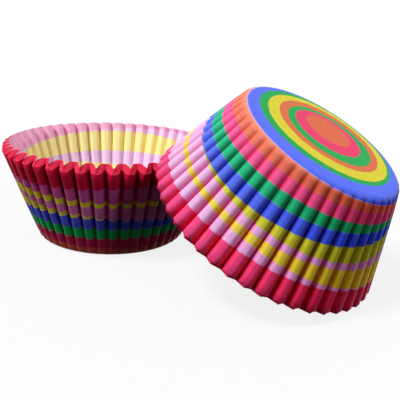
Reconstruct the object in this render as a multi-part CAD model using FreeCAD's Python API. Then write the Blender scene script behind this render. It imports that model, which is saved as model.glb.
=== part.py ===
# A stack of fluted paper cupcake liners, in two nests of the same liner.
# One nest stands upright on its flat base. The other is upside down: its rim
# touches the floor on one side and lies across the upright nest's rim on the other.
# Each liner is one sheet of paper, pressed into a flat disc and a fluted wall.
# The origin is the centre of the upright nest's base, +Z is up and the leaning
# nest lies towards +X. All lengths are in millimetres and angles in degrees.
import FreeCAD, Part
import math
import os

# The pressed liner
BASE_DIAMETER = 50.0
RIM_DIAMETER = 74.0
WALL_LENGTH = 32.8
PAPER_THICKNESS = 0.09

# The flutes of its wall
FLUTES = 46
RIM_FLUTE_DEPTH = 2.4
BASE_FLUTE_DEPTH = 0.6
CREST_SHARE = 0.30
VALLEY_SHARE = 0.26

# The two nests
UPRIGHT_LINERS = 5
LEANING_LINERS = 3
NEST_CLEARANCE = 0.12
UPRIGHT_TURN = -1.6
LEANING_TURN = -1.7

# Where the leaning rim lies across the upright one, measured round the rim
CROSSING_ANGLE = 19.9
CROSSING_CLEARANCE = 0.2

# Sizes that follow from them
FLUTE_PITCH = 360.0 / FLUTES
BASE_RADIUS = BASE_DIAMETER / 2
CREST_RADIUS = RIM_DIAMETER / 2
VALLEY_RADIUS = CREST_RADIUS - RIM_FLUTE_DEPTH


def rim_height(radius):
    """Height of the rim where it lies at this radius: the paper's length is the same everywhere."""
    return math.sqrt(WALL_LENGTH ** 2 - (radius - BASE_RADIUS) ** 2)


CREST_HEIGHT = rim_height(CREST_RADIUS)
VALLEY_HEIGHT = rim_height(VALLEY_RADIUS)
WALL_LEAN = math.atan2(CREST_RADIUS - BASE_RADIUS, CREST_HEIGHT)
WALL_RISE = PAPER_THICKNESS / math.sin(WALL_LEAN)
NEST_STEP = WALL_RISE + NEST_CLEARANCE


def flute_corners():
    """The straight creases of the wall, in order round it: angle, foot radius and rim radius."""
    foot_crest = BASE_RADIUS + BASE_FLUTE_DEPTH / 2
    foot_valley = BASE_RADIUS - BASE_FLUTE_DEPTH / 2
    crest_half = FLUTE_PITCH * CREST_SHARE / 2
    valley_half = FLUTE_PITCH * VALLEY_SHARE / 2
    corners = []
    for flute in range(FLUTES):
        crest = flute * FLUTE_PITCH
        valley = crest + FLUTE_PITCH / 2
        corners.append((crest - crest_half, foot_crest, CREST_RADIUS))
        corners.append((crest + crest_half, foot_crest, CREST_RADIUS))
        corners.append((valley - valley_half, foot_valley, VALLEY_RADIUS))
        corners.append((valley + valley_half, foot_valley, VALLEY_RADIUS))
    return corners


def crease_point(corner, height, lift):
    """The point at this height of the outer face's crease, then lifted straight up."""
    angle, foot_radius, rim_radius = corner
    radius = foot_radius + (rim_radius - foot_radius) * height / rim_height(rim_radius)
    turn = math.radians(angle)
    return FreeCAD.Vector(radius * math.cos(turn), radius * math.sin(turn), height + lift)


def flat_face(points):
    return Part.Face(Part.makePolygon(points + points[:1]))


def wall_faces(corners, low, high):
    """Flat panels between neighbouring creases; a flute's twisted side is two triangles."""
    faces = []
    for here in range(len(corners)):
        after = (here + 1) % len(corners)
        panel = [low[here], low[after], high[after], high[here]]
        if corners[here][2] == corners[after][2]:
            faces.append(flat_face(panel))
        else:
            faces.append(flat_face(panel[:3]))
            faces.append(flat_face([panel[0], panel[2], panel[3]]))
    return faces


def rim_faces(outer, inner):
    """The cut edge of the paper, from the outer face's rim up to the inner face's."""
    count = len(outer)
    return [flat_face([outer[n], outer[(n + 1) % count], inner[(n + 1) % count], inner[n]])
            for n in range(count)]


def make_liner():
    """One liner, standing on its base: the inner face is the outer one lifted by the wall's rise."""
    corners = flute_corners()
    outer_foot = [crease_point(c, 0.0, 0.0) for c in corners]
    outer_rim = [crease_point(c, rim_height(c[2]), 0.0) for c in corners]
    inner_foot = [crease_point(c, PAPER_THICKNESS - WALL_RISE, WALL_RISE) for c in corners]
    inner_rim = [crease_point(c, rim_height(c[2]), WALL_RISE) for c in corners]
    faces = [flat_face(outer_foot), flat_face(inner_foot)]
    faces += wall_faces(corners, outer_foot, outer_rim)
    faces += wall_faces(corners, inner_foot, inner_rim)
    faces += rim_faces(outer_rim, inner_rim)
    skin = Part.makeCompound(faces)
    skin.sewShape()
    liner = Part.Solid(skin.Shells[0])
    if liner.Volume < 0:
        liner.reverse()
    return liner


def nest_of(liner, count, turn):
    """A nest of liners, the outermost first, each one step further in."""
    first = liner.copy()
    first.rotate(FreeCAD.Vector(), FreeCAD.Vector(0, 0, 1), turn)
    return [first.translated(FreeCAD.Vector(0, 0, n * NEST_STEP)) for n in range(count)]


def lean_over(nest):
    """Turn a nest upside down, with its rim on the floor and across the upright nest's rim."""
    upright_top = VALLEY_HEIGHT + WALL_RISE + (UPRIGHT_LINERS - 1) * NEST_STEP
    innermost = WALL_RISE + (LEANING_LINERS - 1) * NEST_STEP
    across = VALLEY_RADIUS * math.cos(math.radians(CROSSING_ANGLE))
    span = CREST_RADIUS + across
    step = VALLEY_HEIGHT - CREST_HEIGHT
    lift = upright_top + CROSSING_CLEARANCE
    tilt = math.atan2(step, span) + math.asin(lift / math.hypot(span, step))
    base_x = (VALLEY_HEIGHT + innermost) * math.sin(tilt) + across * (1 + math.cos(tilt))
    turned = []
    for liner in nest:
        copy = liner.copy()
        copy.rotate(FreeCAD.Vector(), FreeCAD.Vector(0, 1, 0), 180 + math.degrees(tilt))
        turned.append(copy)
    lowest = min(liner.BoundBox.ZMin for liner in turned)
    return [liner.translated(FreeCAD.Vector(base_x, 0, -lowest)) for liner in turned]


def save(nest, name):
    for number, liner in enumerate(nest, start=1):
        liner.exportStep("parts/%s_liner_%d.step" % (name, number))


os.makedirs("parts", exist_ok=True)
pressed_liner = make_liner()
save(nest_of(pressed_liner, UPRIGHT_LINERS, UPRIGHT_TURN), "upright")
save(lean_over(nest_of(pressed_liner, LEANING_LINERS, LEANING_TURN)), "leaning")
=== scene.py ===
# The looks of a stack of paper cupcake liners: fluted paper, printed rings, light and camera.
# Lengths are in metres and angles in degrees. The print's own lengths are millimetres on the flat sheet.
# The CAD model gives each nest its place.
import math
import bpy
import numpy as np
from mathutils import Matrix, Vector


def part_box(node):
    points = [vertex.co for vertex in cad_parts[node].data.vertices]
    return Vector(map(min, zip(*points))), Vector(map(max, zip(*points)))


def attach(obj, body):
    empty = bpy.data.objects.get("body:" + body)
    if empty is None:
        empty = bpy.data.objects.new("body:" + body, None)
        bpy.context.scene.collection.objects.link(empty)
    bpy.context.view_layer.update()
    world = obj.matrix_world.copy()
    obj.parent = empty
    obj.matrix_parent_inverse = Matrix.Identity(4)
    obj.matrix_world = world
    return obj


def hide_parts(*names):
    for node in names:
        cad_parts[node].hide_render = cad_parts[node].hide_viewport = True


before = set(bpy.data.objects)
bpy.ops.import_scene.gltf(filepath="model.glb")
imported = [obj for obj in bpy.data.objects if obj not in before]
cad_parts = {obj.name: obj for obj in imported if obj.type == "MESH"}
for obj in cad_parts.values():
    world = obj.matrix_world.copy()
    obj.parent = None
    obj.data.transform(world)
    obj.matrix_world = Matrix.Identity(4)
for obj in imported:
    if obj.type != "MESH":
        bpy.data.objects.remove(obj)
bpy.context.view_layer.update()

MM = 0.001

# The pressed liner, as the CAD model has it
BASE_RADIUS = 25.0 * MM
WALL_LENGTH = 32.8 * MM
PAPER = 0.09 * MM
FLUTES = 46
FLUTE_DEPTH = 2.4 * MM
UPRIGHT_TURN = -1.6
LEANING_TURN = -1.7

# The round fold at the base, how far above it the flutes start and how softly they grow
FOLD_LENGTH = 3.6 * MM
FLUTE_START = 0.2 * MM
FLUTE_SOFTNESS = 0.1

# The form of the flutes: how flat their crests are, how sharp their folds and how broad their crests.
# The outermost liner has broad crests and narrow valleys, and the innermost the other way round. Each
# liner's rim lies a little inside the one around it.
FOOT_FLATNESS = 2.6
RIM_FLATNESS = 4.4
SHARPEST_FOLD = 0.14
WIDEST_CREST = 1.0
CREST_LOSS = 0.45
RIM_INSET = 0.04 * MM

# How far up the wall the inner face has its full rise over the outer one, as a share of the wall
FULL_RISE = 1 / 12

# How far towards the next liner the cut edge and the slope behind it reach, in steps of the nest
EDGE_REACH = 0.5
SLOPE_REACH = 0.8

# How uneven the folds are, and the fewest and most waves of that round the liner
FLUTE_JITTER, FLUTE_JITTER_WAVES = 0.30, (5, 22)
RIM_JITTER, RIM_JITTER_WAVES = 0.22, (7, 30)
DEPTH_JITTER, DEPTH_JITTER_WAVES = 0.10, (9, 46)
UPRIGHT_SEED = 11
LEANING_SEED = 47

# The mesh's divisions. The wall's rows lie a little closer together near the base.
STEPS_PER_FLUTE = 24
DISC_ROWS = 3
FOLD_ROWS = 8
WALL_ROWS = 14
ROW_SPREAD = 1.1

# How finely the flutes' wave is measured, the angle from which the mesh's edges are sharp, and how
# near the base's plane a corner of a CAD solid is taken as on it
WAVE_SAMPLES = 720
SHARP_ANGLE = 60
FLAT_TOLERANCE = 0.01 * MM

# The material slots of a liner's mesh
OUTSIDE, INSIDE, EDGE = range(3)

# The print, from the middle of the flat sheet outwards. Each ring starts at a circle with its own
# radius, off the sheet's centre by some distance in some direction (degrees), and has three colours:
# as printed; a darker, deeper copy on the upright liners' outside, painted shade for the shade that
# nest stands in; and showing through on the inside, made paler than the show-through alone as
# painted light for the bright light inside the nest.
RINGS = [
    ("middle orange", 0.0, 0.0, 0, (224, 104, 66), (224, 104, 66), (246, 205, 180)),
    ("middle pink", 7.3, 7.3, 78, (236, 52, 106), (236, 52, 106), (252, 190, 222)),
    ("inner green", 10.8, 5.6, 81, (0, 166, 76), (0, 166, 76), (170, 226, 195)),
    ("inner orange", 13.7, 4.8, 90, (220, 110, 62), (220, 110, 62), (246, 205, 180)),
    ("inner yellow", 16.3, 4.7, 88, (222, 210, 42), (222, 210, 42), (255, 248, 168)),
    ("outer green", 19.5, 3.4, 91, (0, 166, 76), (0, 166, 76), (170, 226, 195)),
    ("base blue", 21.3, 2.4, 80, (90, 114, 250), (90, 114, 250), (190, 196, 248)),
    ("wall orange", 26.0, 1.6, 144, (240, 140, 114), (236, 100, 84), (246, 205, 180)),
    ("wall pink", 29.0, 0.2, 300, (248, 112, 174), (222, 40, 106), (252, 190, 222)),
    ("wall green", 32.5, 0.6, 310, (52, 200, 146), (18, 198, 100), (170, 226, 195)),
    ("wall blue", 34.9, 2.1, 295, (102, 130, 248), (94, 100, 246), (190, 196, 248)),
    ("yellow green", 38.05, 3.15, 285, (222, 222, 78), (255, 232, 80), (255, 248, 168)),
    ("lower lilac", 40.3, 3.5, 236, (246, 190, 236), (242, 130, 202), (246, 216, 250)),
    ("wall yellow", 45.3, 0.6, 290, (246, 226, 92), (255, 236, 66), (255, 248, 168)),
    ("upper lilac", 50.1, 2.6, 132, (246, 190, 236), (230, 96, 180), (246, 216, 250)),
    ("rim red", 53.3, 2.0, 50, (248, 82, 142), (224, 24, 70), (252, 190, 222)),
]
SHEET_SPAN = 120.0

# How soft a ring's edge is, how far it wanders and how fine that wandering is
RING_EDGE = 0.12
RING_WOBBLE = 0.5
WOBBLE_SCALE = 0.35
WOBBLE_DETAIL = 3.0

# Pale lines along some rings' edges: at the wall orange ring, where the base folds, a painted
# highlight of the fold catching the light, and at the other rings a thin pale line. How strong each
# is at its ring, and where it fades
FOLD_HIGHLIGHT_AND_PALE_LINES = {"wall orange": 0.4, "wall green": 0.14, "wall blue": 0.16}
PALE_LINE = (226, 214, 246)
PALE_LINE_FADE = (0.05, 0.28)

# How each liner's print sits on its sheet: turn in degrees, shift in millimetres and its direction
UPRIGHT_PRINTS = [(5, 0.8, 131), (40, 0.6, 30), (170, 0.4, 200), (-70, 0.5, 120), (0, 2.0, 123)]
LEANING_PRINTS = [(0, 0.0, 0), (95, 0.5, 10), (-120, 0.6, 80)]

# The printed faces, in the order of a ring's colours; the upright liners' outside has the painted
# shade. Each list below has a value for each of them.
LEANING_OUTSIDE, UPRIGHT_OUTSIDE, SHOWN_THROUGH = range(3)

# Painted shade in the folds: the ink tinted and made deeper where the folds keep the light out and
# light bounces between them. Its tint, how much deeper it is, the span of the fold in which it
# deepens, and how soon above the base that starts
FOLD_SHADE_TINT = [(255, 212, 222), (222, 192, 202), (255, 248, 250)]
FOLD_SHADE_DEPTH = [0.7, 0.9, 0.1]
FOLD_SPAN = (0.1, 0.8)
FOLD_GROWTH = 0.4

# Painted shade on the leaning liners' walls: the colour deepened towards the side of the sheet that
# turns away from the light. How much, on which side, and where that sets in across the sheet and
# outwards from its centre
PAINTED_SIDE_SHADE = [0.85, 0.0, 0.0]
SHADED_SIDE = 148
SIDE_SHADE_ACROSS = (-42.0, 14.0)
SIDE_SHADE_WALL = (25.0, 27.0)

# The mottled ink: how dark its spots are, its noises (scale and detail) and the span of them that shows
DARKEST_INK = [0.87, 0.87, 0.96]
INK_NOISES = [(0.8, 5.0), (3.5, 3.0)]
INK_NOISE_SPAN = (0.35, 0.65)

# The paper's finish and its fibres
SHEEN = [0.05, 0.0, 0.0]
SHEEN_ROUGHNESS = 0.35
SHEEN_TINT = (1.0, 0.9, 1.0, 1.0)
GLOSS = [0.06, 0.06, 0.08]
ROUGHNESS = [0.42, 0.5, 0.5]
PAPER_IOR = 1.45
FIBRE_SCALE = 5.0
FIBRE_DETAIL = 5.0
FIBRE_STRENGTH = 0.16
FIBRE_HEIGHT = 0.2 * MM

# The cut edge and the slope behind it, in a red paler than the rim's ink: painted light for the light
# the thin rims let through and catch. Their fibres follow the object, so their scale is in metres.
CUT_EDGE_LIT = (255, 60, 98)
CUT_EDGE_ROUGHNESS = 0.8
CUT_EDGE_GLOSS = 0.06
CUT_FIBRE_SCALE = 900.0
CUT_FIBRE_DETAIL = 2.0
CUT_FIBRE_SPAN = (0.3, 0.7)
CUT_FIBRE_DARKEST = 0.9

# The floor: its colour for the light that reaches the object, its colour for the camera in the shadow,
# and where and how much of that shadow the camera sees
FLOOR_SIZE = 4.0
FLOOR_DROP = 0.02 * MM
FLOOR_MATT = (40, 40, 40)
FLOOR_LIT = (210, 210, 210)
SHADOW_MIDDLE = (0.03, 0.0, 0.0)
SHADOW_FADE = (0.10, 0.20)
SHADOW_KEPT = 0.15

# The lamps: name, where each one stands, its spread in degrees and its strength
LAMPS = [
    ("key", (-0.22, -0.48, 0.85), 18, 3.6),
    ("top", (0.1, 0.45, 1.0), 60, 0.6),
    ("fill", (-0.92, -0.38, 0.1), 50, 0.75),
    ("back", (0.75, 0.65, 0.2), 60, 0.5),
    ("side", (0.95, -0.25, 0.3), 16, 0.5),
]
WORLD_LIGHT = 0.06

# The camera, as the photograph's
CAMERA_PLACE = (0.1359, -0.1570, 0.07636)
CAMERA_HEADING = 32.14
CAMERA_DIP = 17.16
CAMERA_ROLL = 3.01
CAMERA_LENS = 53.8
CAMERA_SENSOR = 36.0
CAMERA_NEAREST = 0.01


def nest_nodes(name):
    return sorted(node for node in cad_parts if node.startswith(name))


# Sizes and places that the CAD model gives
UPRIGHT = nest_nodes("upright_liner")
LEANING = nest_nodes("leaning_liner")
upright_low, upright_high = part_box(UPRIGHT[0])
CREST_RADIUS = (upright_high.x - upright_low.x) / 2
MEAN_RIM_RADIUS = CREST_RADIUS - FLUTE_DEPTH / 2
NEST_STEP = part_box(UPRIGHT[1])[0].z - upright_low.z
WALL_RISE = PAPER * WALL_LENGTH / (CREST_RADIUS - BASE_RADIUS)


def leaning_place():
    """Where the leaning nest's own frame lies: found from its CAD solids."""
    first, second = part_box(LEANING[0])[0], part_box(LEANING[1])[0]
    axis = (first - second).normalized()
    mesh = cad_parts[LEANING[0]].data
    corners = np.array([vertex.co for vertex in mesh.vertices])
    height = corners @ np.array(axis)
    base = Vector(corners[height > height.max() - FLAT_TOLERANCE].mean(axis=0))
    side = Vector((0, 1, 0))
    mouth = -axis
    return Matrix.Translation(base) @ Matrix((side.cross(mouth), side, mouth)).transposed().to_4x4()


def smooth(x):
    x = np.clip(x, 0.0, 1.0)
    return x * x * (3 - 2 * x)


def waver(angle, seed, fewest, most):
    """A smooth random function round the liner, about -1 to 1."""
    random = np.random.RandomState(seed)
    total = np.zeros_like(angle)
    for count in range(fewest, most + 1):
        total += random.normal() * np.cos(count * angle + random.uniform(0, 2 * math.pi))
    return total / np.abs(total).max()


def flute_arch(side, flatness):
    """A broad arch, 1 in its middle and 0 in the sharp folds at its ends, where the side is 1."""
    rise = np.sqrt(1 - np.abs(side) ** flatness + SHARPEST_FOLD ** 2)
    return (rise - SHARPEST_FOLD) / (math.hypot(1.0, SHARPEST_FOLD) - SHARPEST_FOLD)


def flute_wave(phase, flatness, width):
    """The wave of the flutes, 1 on the crests and -1 in the valleys.

    Width 1 gives broad crests and narrow valleys, and -1 the other way round."""
    crests = 2 * flute_arch(np.sin(phase / 2), flatness) - 1
    valleys = 1 - 2 * flute_arch(np.cos(phase / 2), flatness)
    return 0.5 * (1 + width) * crests + 0.5 * (1 - width) * valleys


def flute_phases():
    """Places across one flute, closer together where the rim's wave is steep."""
    fine = np.linspace(0, 2 * math.pi, WAVE_SAMPLES + 1)
    reach = np.zeros(WAVE_SAMPLES)
    for width in (WIDEST_CREST, 0.0, -WIDEST_CREST):
        rise = np.diff(flute_wave(fine, RIM_FLATNESS, width)) * FLUTE_DEPTH / 2
        reach += np.hypot(rise, MEAN_RIM_RADIUS / FLUTES * np.diff(fine))
    share = np.concatenate([[0], np.cumsum(reach)]) / reach.sum()
    return np.interp(np.arange(STEPS_PER_FLUTE) / STEPS_PER_FLUTE, share, fine)


def profile():
    """The wall's mean line from the middle outwards: its radius, its length and the flat sheet's radius."""
    lean = math.acos((MEAN_RIM_RADIUS - BASE_RADIUS) / WALL_LENGTH)
    share = np.linspace(0, 1, FOLD_ROWS + 1)
    heading = lean * smooth(share)
    middle = (heading[1:] + heading[:-1]) / 2
    step = FOLD_LENGTH / FOLD_ROWS
    tangent = step * np.sin(middle).sum() / math.sin(lean)
    flat = (BASE_RADIUS - tangent) * np.linspace(0, 1, DISC_ROWS + 1)[1:]
    fold = flat[-1] + step * np.cumsum(np.cos(middle))
    wall = (WALL_LENGTH - tangent) * np.linspace(0, 1, WALL_ROWS + 1)[1:] ** ROW_SPREAD
    radius = np.concatenate([flat, fold, fold[-1] + wall * math.cos(lean)])
    run = np.concatenate([flat, flat[-1] + step * np.arange(1, FOLD_ROWS + 1),
                          flat[-1] + FOLD_LENGTH + wall])
    sheet = np.concatenate([flat, flat[-1] + 2 * tangent * share[1:], BASE_RADIUS + tangent + wall])
    return radius, run, sheet


def liner_face(seed, depth):
    """One face of a pressed liner, some liners deep in its nest (a number for each row).

    Gives, by row, its points, their places on the flat sheet, how far each row is along the wall, and
    how much each point is on a crest or in a valley, from 0 to 1."""
    angle = np.concatenate([(flute * 2 * math.pi + flute_phases()) / FLUTES for flute in range(FLUTES)])
    uneven = FLUTE_JITTER * waver(angle, seed, *FLUTE_JITTER_WAVES)
    uneven_rim = RIM_JITTER * waver(angle, seed + 1, *RIM_JITTER_WAVES)
    tall = 1 - DEPTH_JITTER * (0.5 + 0.5 * waver(angle, seed + 2, *DEPTH_JITTER_WAVES))
    mean, run, sheet_radius = profile()
    along = np.clip((sheet_radius - BASE_RADIUS - FLUTE_START) / (WALL_LENGTH - FLUTE_START), 0, 1)
    growth = along * (1 + FLUTE_SOFTNESS) / (np.sqrt(along) + FLUTE_SOFTNESS)
    radius = np.zeros((len(mean), len(angle)))
    crest = np.zeros_like(radius)
    valley = np.zeros_like(radius)
    for row, share in enumerate(along):
        flatness = FOOT_FLATNESS + (RIM_FLATNESS - FOOT_FLATNESS) * share
        width = WIDEST_CREST - CREST_LOSS * depth[row]
        wave = flute_wave(FLUTES * angle + uneven + uneven_rim * share, flatness, width)
        inset = RIM_INSET * depth[row] * share
        radius[row] = mean[row] - inset + FLUTE_DEPTH / 2 * growth[row] * tall * wave
        # How far into a fold each point lies, which the materials use for painted shade
        folded = growth[row] ** FOLD_GROWTH
        crest[row] = folded * (0.5 + 0.5 * wave)
        valley[row] = folded * (0.5 - 0.5 * wave)
    height = np.zeros_like(radius)
    for row in range(DISC_ROWS, len(mean)):
        climb = (run[row] - run[row - 1]) ** 2 - (radius[row] - radius[row - 1]) ** 2
        height[row] = height[row - 1] + np.sqrt(np.maximum(climb, 0.0))
    points = np.stack([radius * np.cos(angle), radius * np.sin(angle), height], axis=-1)
    sheet = sheet_radius[:, None, None] * np.stack([np.cos(angle), np.sin(angle)], axis=-1)
    return points, sheet, along, crest, valley


def ring_faces(rings, columns, flip=False):
    """Four-sided faces between neighbouring rings of points, given by their first points' numbers."""
    here = np.arange(columns)
    after = (here + 1) % columns
    faces = []
    for low, high in zip(rings, rings[1:]):
        strip = np.stack([low + here, low + after, high + after, high + here], axis=-1)
        faces += (strip[:, ::-1] if flip else strip).tolist()
    return faces


def fan_faces(middle, ring, columns, flip=False):
    """Triangles between a middle point and a ring of points, given by its first point's number."""
    here = np.arange(columns)
    after = (here + 1) % columns
    fan = np.stack([np.full(columns, middle), ring + after, ring + here], axis=-1)
    return (fan[:, ::-1] if flip else fan).tolist()


def liner_faces(rows, columns):
    """A liner's faces, each part with its material slot.

    The points are the outer face's rings, the inner face's, the cut edge's ring and two middles."""
    outer = [row * columns for row in range(rows)]
    inner = [(rows + row) * columns for row in range(rows)]
    edge = 2 * rows * columns
    middle = edge + columns
    return [(ring_faces(outer, columns), OUTSIDE),
            (fan_faces(middle, outer[0], columns), OUTSIDE),
            (ring_faces(inner, columns, flip=True), INSIDE),
            (fan_faces(middle + 1, inner[0], columns, flip=True), INSIDE),
            (ring_faces([edge, inner[-1]], columns), EDGE),
            (ring_faces([outer[-1], edge], columns), EDGE)]


def liner_mesh(name, seed, number, lift, prints):
    """A closed sheet of paper: outer face, inner face, their middles, the cut edge and its slope."""
    rows = DISC_ROWS + FOLD_ROWS + WALL_ROWS
    share = np.full(rows, WALL_RISE / NEST_STEP)
    share[-1] = SLOPE_REACH
    outer, sheet, along, _, valley = liner_face(seed, np.full(rows, float(number)))
    inner, _, _, crest, _ = liner_face(seed, number + share)
    rise = PAPER + (share * NEST_STEP - PAPER) * smooth(along / FULL_RISE)
    outer[..., 2] += lift
    inner[..., 2] += lift + rise[:, None]
    edge = outer[-1] + (inner[-1] - outer[-1]) * EDGE_REACH / SLOPE_REACH
    middles = np.array([[0, 0, outer[0, 0, 2]], [0, 0, inner[0, 0, 2]]])
    corners = np.concatenate([outer.reshape(-1, 3), inner.reshape(-1, 3), edge, middles])
    flat = sheet.reshape(-1, 2)
    places = np.concatenate([flat, flat, sheet[-1], np.zeros((2, 2))])
    folds = np.concatenate([valley.ravel(), crest.ravel(), valley[-1], [0, 0]])
    parts = liner_faces(rows, outer.shape[1])
    faces = [face for part, slot in parts for face in part]
    slots = np.concatenate([np.full(len(part), slot, dtype=np.int32) for part, slot in parts])
    mesh = bpy.data.meshes.new(name)
    mesh.from_pydata(corners.tolist(), [], faces)
    mesh.polygons.foreach_set("material_index", slots)
    mesh.polygons.foreach_set("use_smooth", np.ones(len(faces), dtype=bool))
    place_print(mesh, places, prints)
    # The folds' depth at each point, for the painted shade in the folds
    mesh.attributes.new("fold", "FLOAT", "POINT").data.foreach_set("value", folds)
    mesh.set_sharp_from_angle(angle=math.radians(SHARP_ANGLE))
    mesh.update()
    return mesh


def place_print(mesh, places, prints):
    """Lays the flat sheet's places into the UV map, turned and shifted as this liner's print is."""
    turn, shift, direction = prints
    back = math.radians(-turn)
    heading = math.radians(direction)
    spot = places / MM - shift * np.array([math.cos(heading), math.sin(heading)])
    turned = np.stack([spot[:, 0] * math.cos(back) - spot[:, 1] * math.sin(back),
                       spot[:, 0] * math.sin(back) + spot[:, 1] * math.cos(back)], axis=-1)
    corner = np.zeros(len(mesh.loops), dtype=np.int32)
    mesh.loops.foreach_get("vertex_index", corner)
    layer = mesh.uv_layers.new(name="sheet")
    layer.data.foreach_set("uv", (turned[corner] / SHEET_SPAN + 0.5).ravel())


def srgb(colour):
    """A colour given as 0 to 255 on a screen, as the linear colour that a shader takes."""
    values = [c / 255 for c in colour]
    linear = [v / 12.92 if v <= 0.04045 else ((v + 0.055) / 1.055) ** 2.4 for v in values]
    return (*linear, 1.0)


class Nodes:
    """Short names for making and linking the nodes of one material or world."""

    def __init__(self, tree):
        self.tree = tree
        tree.nodes.clear()

    def add(self, kind, inputs=(), **settings):
        node = self.tree.nodes.new(kind)
        for key, value in settings.items():
            setattr(node, key, value)
        for key, value in dict(inputs).items():
            if isinstance(value, bpy.types.NodeSocket):
                self.tree.links.new(value, node.inputs[key])
            else:
                node.inputs[key].default_value = value
        return node

    def maths(self, operation, first, second=0.0):
        return self.add("ShaderNodeMath", {0: first, 1: second}, operation=operation).outputs[0]

    def vector(self, operation, first, second=(0.0, 0.0, 0.0), output="Vector"):
        node = self.add("ShaderNodeVectorMath", {0: first, 1: second}, operation=operation)
        return node.outputs[output]

    def scaled(self, vector, scale):
        return self.add("ShaderNodeVectorMath", {0: vector, "Scale": scale}, operation="SCALE").outputs[0]

    def noise(self, place, scale, detail, output="Fac"):
        node = self.add("ShaderNodeTexNoise", {"Vector": place, "Scale": scale, "Detail": detail})
        return node.outputs[output]

    def span(self, value, low, high, start=0.0, end=1.0):
        inputs = {"Value": value, 1: low, 2: high, 3: start, 4: end}
        return self.add("ShaderNodeMapRange", inputs).outputs[0]

    def span_colour(self, colour, low, high, start, end):
        inputs = {"Vector": colour, 7: 3 * (low,), 8: 3 * (high,), 9: 3 * (start,), 10: 3 * (end,)}
        return self.add("ShaderNodeMapRange", inputs, data_type="FLOAT_VECTOR").outputs["Vector"]

    def mix(self, factor, first, second, blend="MIX"):
        inputs = {0: factor, 6: first, 7: second}
        return self.add("ShaderNodeMix", inputs, data_type="RGBA", blend_type=blend).outputs[2]

    def times(self, first, second):
        return self.mix(1.0, first, second, "MULTIPLY")


def new_material(name):
    material = bpy.data.materials.new(name)
    material.use_nodes = True
    return material, Nodes(material.node_tree)


def printed_colour(nodes, place, side):
    """The rings of the print at a place on the flat sheet, in millimetres."""
    loose = nodes.noise(place, WOBBLE_SCALE, WOBBLE_DETAIL, "Color")
    wobble = nodes.scaled(nodes.vector("SUBTRACT", loose, (0.5, 0.5, 0.5)), RING_WOBBLE)
    flat = nodes.vector("MULTIPLY", nodes.vector("ADD", place, wobble), (1.0, 1.0, 0.0))
    _, _, _, _, *colours = RINGS[0]
    colour = srgb(colours[side])
    for label, radius, offset, direction, *colours in RINGS[1:]:
        heading = math.radians(direction)
        centre = (offset * math.cos(heading), offset * math.sin(heading), 0.0)
        reach = nodes.vector("DISTANCE", flat, centre, "Value")
        edge = nodes.span(reach, radius - RING_EDGE, radius + RING_EDGE)
        colour = nodes.mix(edge, colour, srgb(colours[side]))
        # A painted highlight along the fold at the wall orange ring, thin pale lines at the others
        if label in FOLD_HIGHLIGHT_AND_PALE_LINES and side != SHOWN_THROUGH:
            away = nodes.maths("ABSOLUTE", nodes.maths("SUBTRACT", reach, radius))
            line = nodes.span(away, *PALE_LINE_FADE, FOLD_HIGHLIGHT_AND_PALE_LINES[label], 0.0)
            colour = nodes.mix(line, colour, srgb(PALE_LINE))
    return colour


def painted_side_shade(nodes, place, colour, most):
    """Painted shade: the colour deepened on the side of the wall away from the light, and as it was on the
    disc.
    """
    heading = math.radians(SHADED_SIDE)
    towards = (math.cos(heading), math.sin(heading), 0.0)
    across = nodes.span(nodes.vector("DOT_PRODUCT", place, towards, "Value"), *SIDE_SHADE_ACROSS, 0.0, most)
    wall = nodes.span(nodes.vector("LENGTH", place, output="Value"), *SIDE_SHADE_WALL)
    return nodes.mix(nodes.maths("MULTIPLY", across, wall), colour, nodes.times(colour, colour))


def painted_fold_shade(nodes, colour, side):
    """Painted shade: the colour deeper and tinted where the paper's folds keep the light out."""
    fold = nodes.add("ShaderNodeAttribute", attribute_name="fold").outputs["Fac"]
    tinted = nodes.times(colour, srgb(FOLD_SHADE_TINT[side]))
    deep = nodes.mix(FOLD_SHADE_DEPTH[side], tinted, nodes.times(tinted, tinted))
    return nodes.mix(nodes.span(fold, *FOLD_SPAN), colour, deep)


def mottled_ink(nodes, place, colour, side):
    """The ink uneven on the paper, in clouds and in specks."""
    for scale, detail in INK_NOISES:
        noise = nodes.noise(place, scale, detail, "Color")
        colour = nodes.times(colour, nodes.span_colour(noise, *INK_NOISE_SPAN, DARKEST_INK[side], 1.0))
    return colour


def paper_material(name, side):
    """Printed baking paper, with one of the rings' colours: ink on fibres that show a little."""
    material, nodes = new_material(name)
    sheet = nodes.add("ShaderNodeUVMap", uv_map="sheet").outputs[0]
    place = nodes.scaled(nodes.vector("SUBTRACT", sheet, (0.5, 0.5, 0.0)), SHEET_SPAN)
    colour = printed_colour(nodes, place, side)
    # Painted shade on the side of the leaning liners' walls away from the light
    if PAINTED_SIDE_SHADE[side]:
        colour = painted_side_shade(nodes, place, colour, PAINTED_SIDE_SHADE[side])
    # Painted shade in the folds, then the mottled ink
    colour = mottled_ink(nodes, place, painted_fold_shade(nodes, colour, side), side)
    fibres = nodes.noise(place, FIBRE_SCALE, FIBRE_DETAIL)
    bump = nodes.add("ShaderNodeBump", {
        "Strength": FIBRE_STRENGTH, "Distance": FIBRE_HEIGHT, "Height": fibres})
    shader = nodes.add("ShaderNodeBsdfPrincipled", {
        "Base Color": colour, "Roughness": ROUGHNESS[side],
        "IOR": PAPER_IOR, "Specular IOR Level": GLOSS[side],
        "Sheen Weight": SHEEN[side], "Sheen Roughness": SHEEN_ROUGHNESS, "Sheen Tint": SHEEN_TINT,
        "Normal": bump.outputs[0]})
    nodes.add("ShaderNodeOutputMaterial", {"Surface": shader.outputs[0]})
    return material


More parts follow.
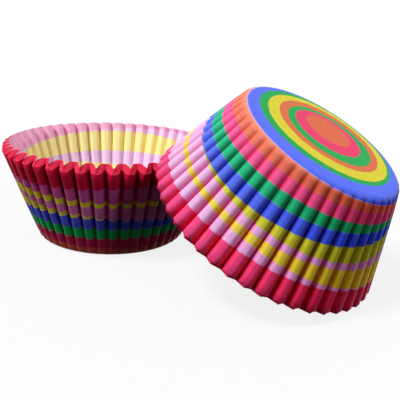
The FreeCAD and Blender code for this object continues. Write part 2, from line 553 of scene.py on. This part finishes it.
def edge_material():
    """The paper's cut edge and the slope behind it, in a bright red paler than the rim's ink: painted light
    for the light the thin rims let through and catch.
    """
    material, nodes = new_material("cut_edge_painted_light")
    place = nodes.add("ShaderNodeTexCoord").outputs["Object"]
    noise = nodes.noise(place, CUT_FIBRE_SCALE, CUT_FIBRE_DETAIL)
    worn = nodes.span(noise, *CUT_FIBRE_SPAN, CUT_FIBRE_DARKEST, 1.0)
    fibres = nodes.add("ShaderNodeCombineColor", {key: worn for key in range(3)}).outputs[0]
    shader = nodes.add("ShaderNodeBsdfPrincipled", {
        "Base Color": nodes.times(srgb(CUT_EDGE_LIT), fibres), "Roughness": CUT_EDGE_ROUGHNESS,
        "IOR": PAPER_IOR, "Specular IOR Level": CUT_EDGE_GLOSS})
    nodes.add("ShaderNodeOutputMaterial", {"Surface": shader.outputs[0]})
    return material


def make_nest(names, place, turn, seed, prints, materials):
    """The liners of one nest, the outermost first, each standing a step further in."""
    lift = 0.0
    for number, name in enumerate(names):
        mesh = liner_mesh(name + "_paper", seed, number, lift, prints[number])
        lift += NEST_STEP
        liner = bpy.data.objects.new(name + "_paper", mesh)
        bpy.context.scene.collection.objects.link(liner)
        mesh.transform(place @ Matrix.Rotation(math.radians(turn), 4, "Z"))
        for material in materials:
            mesh.materials.append(material)
        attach(liner, "root")
        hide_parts(name)


def seen_directly(nodes):
    """1 where the camera sees a surface itself, in a reflection or through glass, and 0 elsewhere."""
    path = nodes.add("ShaderNodeLightPath").outputs
    seen = path["Is Camera Ray"]
    for kind in ("Is Glossy Ray", "Is Transmission Ray"):
        seen = nodes.maths("MAXIMUM", seen, path[kind])
    return seen


def add_floor():
    """A plain white floor that keeps the object's soft shadow."""
    material, nodes = new_material("floor")
    matt = nodes.add("ShaderNodeBsdfDiffuse", {"Color": srgb(FLOOR_MATT)}).outputs[0]
    lit = nodes.add("ShaderNodeBsdfDiffuse", {"Color": srgb(FLOOR_LIT)}).outputs[0]
    white = nodes.add("ShaderNodeEmission", {"Color": (1, 1, 1, 1), "Strength": 1.0}).outputs[0]
    place = nodes.add("ShaderNodeNewGeometry").outputs["Position"]
    reach = nodes.vector("DISTANCE", place, SHADOW_MIDDLE, "Value")
    kept = nodes.span(reach, *SHADOW_FADE, SHADOW_KEPT, 0.0)
    pale = nodes.add("ShaderNodeMixShader", {0: kept, 1: white, 2: lit}).outputs[0]
    shader = nodes.add("ShaderNodeMixShader", {0: seen_directly(nodes), 1: matt, 2: pale})
    nodes.add("ShaderNodeOutputMaterial", {"Surface": shader.outputs[0]})
    bpy.ops.mesh.primitive_plane_add(size=FLOOR_SIZE, location=(0, 0, -FLOOR_DROP))
    floor = bpy.context.object
    floor.name = "floor"
    floor.data.materials.append(material)


def add_lamp(name, towards, spread, strength):
    """A lamp far off in one direction, as wide as its spread in degrees."""
    lamp = bpy.data.objects.new(name, bpy.data.lights.new(name, "SUN"))
    lamp.data.angle = math.radians(spread)
    lamp.data.energy = strength
    lamp.rotation_mode = "QUATERNION"
    lamp.rotation_quaternion = (-Vector(towards)).to_track_quat("-Z", "Y")
    bpy.context.scene.collection.objects.link(lamp)


def add_world():
    """Soft grey light all round, white where the camera or a reflection sees it."""
    world = bpy.data.worlds.new("studio")
    world.use_nodes = True
    bpy.context.scene.world = world
    nodes = Nodes(world.node_tree)
    level = nodes.span(seen_directly(nodes), 0.0, 1.0, WORLD_LIGHT, 1.0)
    light = nodes.add("ShaderNodeBackground", {"Color": (1, 1, 1, 1), "Strength": level})
    nodes.add("ShaderNodeOutputWorld", {"Surface": light.outputs[0]})


def add_camera():
    camera = bpy.data.objects.new("camera", bpy.data.cameras.new("camera"))
    heading, dip, roll = (math.radians(a) for a in (CAMERA_HEADING, CAMERA_DIP, CAMERA_ROLL))
    turn = (Matrix.Rotation(heading, 4, "Z") @ Matrix.Rotation(math.pi / 2 - dip, 4, "X")
            @ Matrix.Rotation(roll, 4, "Z"))
    camera.matrix_world = Matrix.Translation(CAMERA_PLACE) @ turn
    camera.data.lens = CAMERA_LENS
    camera.data.sensor_width = CAMERA_SENSOR
    camera.data.clip_start = CAMERA_NEAREST
    bpy.context.scene.collection.objects.link(camera)
    bpy.context.scene.camera = camera


# The inside: show-through print, made paler as painted light
inside = paper_material("printed_inside", SHOWN_THROUGH)
edge = edge_material()
# The upright liners' outside: the deeper copy of the print, as painted shade
upright_paper = [paper_material("upright_outside_painted_shade", UPRIGHT_OUTSIDE), inside, edge]
leaning_paper = [paper_material("leaning_outside", LEANING_OUTSIDE), inside, edge]
make_nest(UPRIGHT, Matrix.Identity(4), UPRIGHT_TURN, UPRIGHT_SEED, UPRIGHT_PRINTS, upright_paper)
make_nest(LEANING, leaning_place(), LEANING_TURN, LEANING_SEED, LEANING_PRINTS, leaning_paper)
add_floor()
add_world()
for lamp in LAMPS:
    add_lamp(*lamp)
add_camera()
bpy.context.scene.view_settings.view_transform = "Standard"
